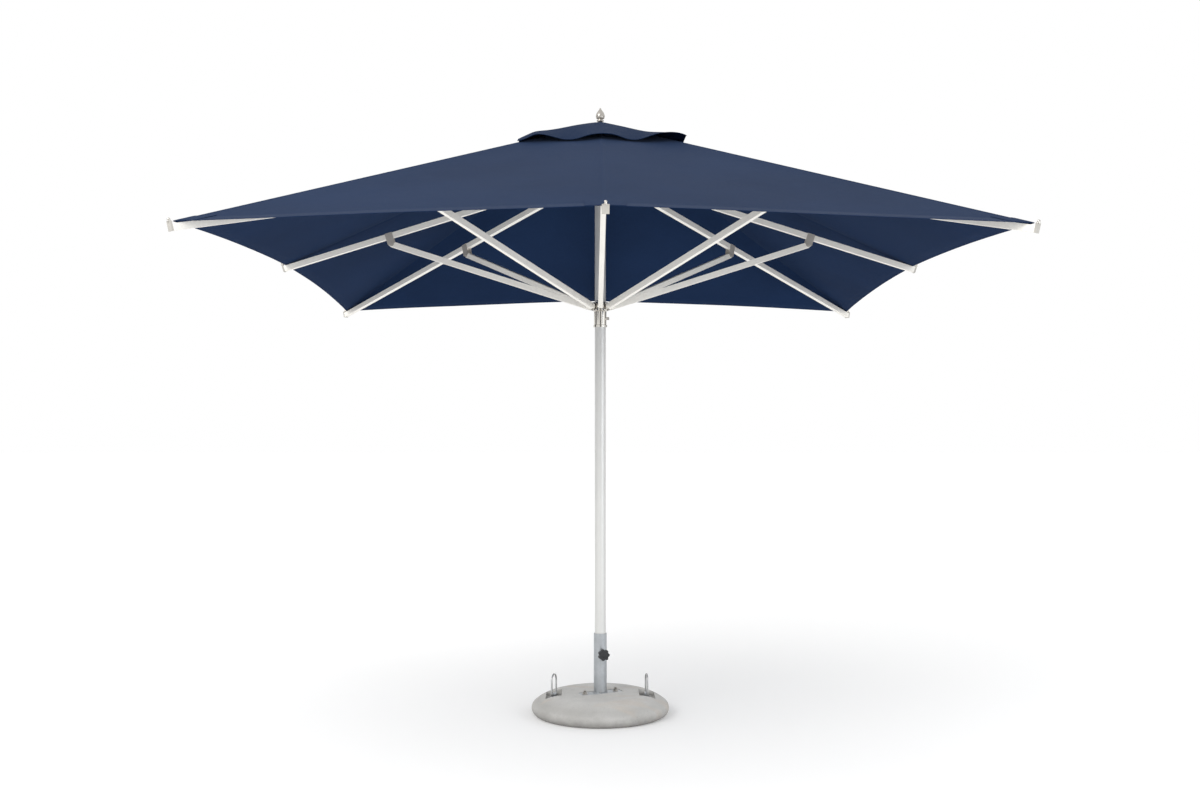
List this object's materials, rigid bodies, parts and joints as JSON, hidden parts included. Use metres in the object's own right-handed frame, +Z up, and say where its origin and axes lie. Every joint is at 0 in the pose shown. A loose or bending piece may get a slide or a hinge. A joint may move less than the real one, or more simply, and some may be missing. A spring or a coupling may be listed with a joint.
{
  "type": "patio umbrella",
  "caption": "Square centre-pole patio umbrella, open, with vented navy canopy, folding ribs and struts, sliding runner, round concrete base with clamp tube and carrying loops.",
  "frame": {"origin": "on the ground under the middle of the pole, at the underside of the concrete base", "axes": "+Z up along the pole; +Y from the clamp knob's side to the back, so the front is -Y; +X to the right, seen from the front. The square canopy's sides run along X and Y."},
  "size_m": [3.0366, 3.0366, 2.854],
  "materials": {
    "concrete": "cast concrete, fine sanded texture with faint stains and a pitted lower edge",
    "galvanised_steel": "galvanised, satin, faint spangle",
    "stainless_steel": "brushed stainless",
    "dark_steel": "painted dark grey, satin",
    "polished_chrome": "polished, slightly warm",
    "pole_aluminium": "satin silver-white anodised tube",
    "frame_aluminium": "satin light silver, slightly warm",
    "hub_metal": "cast and machined, satin",
    "navy_cloth": "woven outdoor cloth, matt navy",
    "black_plastic": "moulded, matt black",
    "pale_plastic": "moulded, pale grey"
  },
  "bodies": {
    "base": {"concrete_base": "concrete", "base_plate": "galvanised_steel", "base_tube": "galvanised_steel", "base_bolts": "stainless_steel", "handle_anchors": "galvanised_steel"},
    "handle_left": {"handle_left": "stainless_steel"},
    "handle_right": {"handle_right": "stainless_steel"},
    "clamp_screw": {"clamp_screw": "stainless_steel"},
    "star_knob": {"star_knob": "black_plastic"},
    "pole": {"pole": "pole_aluminium", "pole_sleeves": "pale_plastic", "hub": "hub_metal", "hub_pins": "stainless_steel", "crown_spring": "stainless_steel"},
    "runner": {"runner": "polished_chrome", "runner_liner": "pale_plastic"},
    "lock_pin": {"lock_pin": "stainless_steel"},
    "crown": {"crown_post": "dark_steel", "finial": "polished_chrome", "vent_cap": "navy_cloth"},
    "rib_0": {"rib_0": "frame_aluminium", "rib_bracket_0": "stainless_steel", "rib_end_cap_0": "pale_plastic"},
    "strut_0": {"strut_0": "frame_aluminium"},
    "canopy_0": {"canopy_panel_0": "navy_cloth"},
    "rib_1": {"rib_1": "frame_aluminium", "rib_bracket_1": "stainless_steel", "rib_end_cap_1": "pale_plastic"},
    "strut_1": {"strut_1": "frame_aluminium"},
    "canopy_1": {"canopy_panel_1": "navy_cloth"},
    "rib_2": {"rib_2": "frame_aluminium", "rib_bracket_2": "stainless_steel", "rib_end_cap_2": "pale_plastic"},
    "strut_2": {"strut_2": "frame_aluminium"},
    "canopy_2": {"canopy_panel_2": "navy_cloth"},
    "rib_3": {"rib_3": "frame_aluminium", "rib_bracket_3": "stainless_steel", "rib_end_cap_3": "pale_plastic"},
    "strut_3": {"strut_3": "frame_aluminium"},
    "canopy_3": {"canopy_panel_3": "navy_cloth"},
    "rib_4": {"rib_4": "frame_aluminium", "rib_bracket_4": "stainless_steel", "rib_end_cap_4": "pale_plastic"},
    "strut_4": {"strut_4": "frame_aluminium"},
    "canopy_4": {"canopy_panel_4": "navy_cloth"},
    "rib_5": {"rib_5": "frame_aluminium", "rib_bracket_5": "stainless_steel", "rib_end_cap_5": "pale_plastic"},
    "strut_5": {"strut_5": "frame_aluminium"},
    "canopy_5": {"canopy_panel_5": "navy_cloth"},
    "rib_6": {"rib_6": "frame_aluminium", "rib_bracket_6": "stainless_steel", "rib_end_cap_6": "pale_plastic"},
    "strut_6": {"strut_6": "frame_aluminium"},
    "canopy_6": {"canopy_panel_6": "navy_cloth"},
    "rib_7": {"rib_7": "frame_aluminium", "rib_bracket_7": "stainless_steel", "rib_end_cap_7": "pale_plastic"},
    "strut_7": {"strut_7": "frame_aluminium"},
    "canopy_7": {"canopy_panel_7": "navy_cloth"}
  },
  "joints": [
    {"name": "pole_lift", "type": "slide", "parent": "base", "child": "pole", "axis": [0, 0, 1], "range_m": [0, 0.26]},
    {"name": "runner_slide", "type": "slide", "parent": "pole", "child": "runner", "axis": [0, 0, -1], "range_m": [0, 1.3293]},
    {"name": "lock_pin_pull", "type": "slide", "parent": "runner", "child": "lock_pin", "axis": [0.9659, -0.2588, 0], "range_m": [0, 0.01], "stiffness_N_per_m": 600, "springref_m": -0.004},
    {"name": "knob_turn", "type": "hinge", "parent": "clamp_screw", "child": "star_knob", "pos_m": [0.01544, -0.05383, 0.28], "axis": [0.2756, -0.9613, 0], "range_deg": [0, 1082]},
    {"name": "clamp_screw_out", "type": "slide", "parent": "base", "child": "clamp_screw", "axis": [0.2756, -0.9613, 0], "range_m": [0, 0.0045]},
    {"name": "handle_left_fold", "type": "hinge", "parent": "base", "child": "handle_left", "pos_m": [-0.217, 0, 0.086], "axis": [0.3256, 0.9455, 0], "range_deg": [-74, 56]},
    {"name": "handle_right_fold", "type": "hinge", "parent": "base", "child": "handle_right", "pos_m": [0.217, 0, 0.086], "axis": [-0.1045, 0.9945, 0], "range_deg": [-56, 74]},
    {"name": "crown_slide", "type": "slide", "parent": "pole", "child": "crown", "axis": [0, 0, -1], "range_m": [0, 0.1221], "stiffness_N_per_m": 300, "springref_m": -0.15, "deforming": ["crown_spring", "vent_cap"]},
    {"name": "rib_0_hinge", "type": "hinge", "parent": "pole", "child": "rib_0", "pos_m": [0.06, 0, 2.53], "axis": [0, 1, 0], "range_deg": [0, 70.6]},
    {"name": "strut_0_hinge", "type": "hinge", "parent": "rib_0", "child": "strut_0", "pos_m": [0.985, 0, 2.20207], "axis": [0, -1, 0], "range_deg": [0, 143.01]},
    {"name": "canopy_0_hinge", "type": "hinge", "parent": "crown", "child": "canopy_0", "pos_m": [0.016, 0, 2.766], "axis": [0, 1, 0], "range_deg": [0, 61.67], "deforming": ["canopy_panel_0"]},
    {"name": "rib_1_hinge", "type": "hinge", "parent": "pole", "child": "rib_1", "pos_m": [0.04243, 0.04243, 2.53], "axis": [-0.7071, 0.7071, 0], "range_deg": [0, 74.02]},
    {"name": "strut_1_hinge", "type": "hinge", "parent": "rib_1", "child": "strut_1", "pos_m": [0.69613, 0.69613, 2.25619], "axis": [0.7071, -0.7071, 0], "range_deg": [0, 143.81]},
    {"name": "canopy_1_hinge", "type": "hinge", "parent": "crown", "child": "canopy_1", "pos_m": [0.01131, 0.01131, 2.766], "axis": [-0.7071, 0.7071, 0], "range_deg": [0, 67.39], "deforming": ["canopy_panel_1"]},
    {"name": "rib_2_hinge", "type": "hinge", "parent": "pole", "child": "rib_2", "pos_m": [0, 0.06, 2.53], "axis": [-1, 0, 0], "range_deg": [0, 70.6]},
    {"name": "strut_2_hinge", "type": "hinge", "parent": "rib_2", "child": "strut_2", "pos_m": [0, 0.985, 2.20207], "axis": [1, 0, 0], "range_deg": [0, 143.01]},
    {"name": "canopy_2_hinge", "type": "hinge", "parent": "crown", "child": "canopy_2", "pos_m": [0, 0.016, 2.766], "axis": [-1, 0, 0], "range_deg": [0, 61.67], "deforming": ["canopy_panel_2"]},
    {"name": "rib_3_hinge", "type": "hinge", "parent": "pole", "child": "rib_3", "pos_m": [-0.04243, 0.04243, 2.53], "axis": [-0.7071, -0.7071, 0], "range_deg": [0, 74.02]},
    {"name": "strut_3_hinge", "type": "hinge", "parent": "rib_3", "child": "strut_3", "pos_m": [-0.69613, 0.69613, 2.25619], "axis": [0.7071, 0.7071, 0], "range_deg": [0, 143.81]},
    {"name": "canopy_3_hinge", "type": "hinge", "parent": "crown", "child": "canopy_3", "pos_m": [-0.01131, 0.01131, 2.766], "axis": [-0.7071, -0.7071, 0], "range_deg": [0, 67.39], "deforming": ["canopy_panel_3"]},
    {"name": "rib_4_hinge", "type": "hinge", "parent": "pole", "child": "rib_4", "pos_m": [-0.06, 0, 2.53], "axis": [0, -1, 0], "range_deg": [0, 70.6]},
    {"name": "strut_4_hinge", "type": "hinge", "parent": "rib_4", "child": "strut_4", "pos_m": [-0.985, 0, 2.20207], "axis": [0, 1, 0], "range_deg": [0, 143.01]},
    {"name": "canopy_4_hinge", "type": "hinge", "parent": "crown", "child": "canopy_4", "pos_m": [-0.016, 0, 2.766], "axis": [0, -1, 0], "range_deg": [0, 61.67], "deforming": ["canopy_panel_4"]},
    {"name": "rib_5_hinge", "type": "hinge", "parent": "pole", "child": "rib_5", "pos_m": [-0.04243, -0.04243, 2.53], "axis": [0.7071, -0.7071, 0], "range_deg": [0, 74.02]},
    {"name": "strut_5_hinge", "type": "hinge", "parent": "rib_5", "child": "strut_5", "pos_m": [-0.69613, -0.69613, 2.25619], "axis": [-0.7071, 0.7071, 0], "range_deg": [0, 143.81]},
    {"name": "canopy_5_hinge", "type": "hinge", "parent": "crown", "child": "canopy_5", "pos_m": [-0.01131, -0.01131, 2.766], "axis": [0.7071, -0.7071, 0], "range_deg": [0, 67.39], "deforming": ["canopy_panel_5"]},
    {"name": "rib_6_hinge", "type": "hinge", "parent": "pole", "child": "rib_6", "pos_m": [0, -0.06, 2.53], "axis": [1, 0, 0], "range_deg": [0, 70.6]},
    {"name": "strut_6_hinge", "type": "hinge", "parent": "rib_6", "child": "strut_6", "pos_m": [0, -0.985, 2.20207], "axis": [-1, 0, 0], "range_deg": [0, 143.01]},
    {"name": "canopy_6_hinge", "type": "hinge", "parent": "crown", "child": "canopy_6", "pos_m": [0, -0.016, 2.766], "axis": [1, 0, 0], "range_deg": [0, 61.67], "deforming": ["canopy_panel_6"]},
    {"name": "rib_7_hinge", "type": "hinge", "parent": "pole", "child": "rib_7", "pos_m": [0.04243, -0.04243, 2.53], "axis": [0.7071, 0.7071, 0], "range_deg": [0, 74.02]},
    {"name": "strut_7_hinge", "type": "hinge", "parent": "rib_7", "child": "strut_7", "pos_m": [0.69613, -0.69613, 2.25619], "axis": [-0.7071, -0.7071, 0], "range_deg": [0, 143.81]},
    {"name": "canopy_7_hinge", "type": "hinge", "parent": "crown", "child": "canopy_7", "pos_m": [0.01131, -0.01131, 2.766], "axis": [0.7071, 0.7071, 0], "range_deg": [0, 67.39], "deforming": ["canopy_panel_7"]}
  ],
  "couplings": [
    {"joint": "knob_turn", "follows": "clamp_screw_out", "rad_per_m": 4188.8},
    {"joint": "crown_slide", "follows": "runner_slide", "ratio": 0.091778},
    {"joint": "rib_0_hinge", "follows": "runner_slide", "rad_per_m": 0.92672},
    {"joint": "strut_0_hinge", "follows": "runner_slide", "rad_per_m": 1.8774},
    {"joint": "canopy_0_hinge", "follows": "runner_slide", "rad_per_m": 0.80944},
    {"joint": "rib_1_hinge", "follows": "runner_slide", "rad_per_m": 0.97158},
    {"joint": "strut_1_hinge", "follows": "runner_slide", "rad_per_m": 1.8879},
    {"joint": "canopy_1_hinge", "follows": "runner_slide", "rad_per_m": 0.88455},
    {"joint": "rib_2_hinge", "follows": "runner_slide", "rad_per_m": 0.92672},
    {"joint": "strut_2_hinge", "follows": "runner_slide", "rad_per_m": 1.8774},
    {"joint": "canopy_2_hinge", "follows": "runner_slide", "rad_per_m": 0.80944},
    {"joint": "rib_3_hinge", "follows": "runner_slide", "rad_per_m": 0.97158},
    {"joint": "strut_3_hinge", "follows": "runner_slide", "rad_per_m": 1.8879},
    {"joint": "canopy_3_hinge", "follows": "runner_slide", "rad_per_m": 0.88455},
    {"joint": "rib_4_hinge", "follows": "runner_slide", "rad_per_m": 0.92672},
    {"joint": "strut_4_hinge", "follows": "runner_slide", "rad_per_m": 1.8774},
    {"joint": "canopy_4_hinge", "follows": "runner_slide", "rad_per_m": 0.80944},
    {"joint": "rib_5_hinge", "follows": "runner_slide", "rad_per_m": 0.97158},
    {"joint": "strut_5_hinge", "follows": "runner_slide", "rad_per_m": 1.8879},
    {"joint": "canopy_5_hinge", "follows": "runner_slide", "rad_per_m": 0.88455},
    {"joint": "rib_6_hinge", "follows": "runner_slide", "rad_per_m": 0.92672},
    {"joint": "strut_6_hinge", "follows": "runner_slide", "rad_per_m": 1.8774},
    {"joint": "canopy_6_hinge", "follows": "runner_slide", "rad_per_m": 0.80944},
    {"joint": "rib_7_hinge", "follows": "runner_slide", "rad_per_m": 0.97158},
    {"joint": "strut_7_hinge", "follows": "runner_slide", "rad_per_m": 1.8879},
    {"joint": "canopy_7_hinge", "follows": "runner_slide", "rad_per_m": 0.88455}
  ]
}
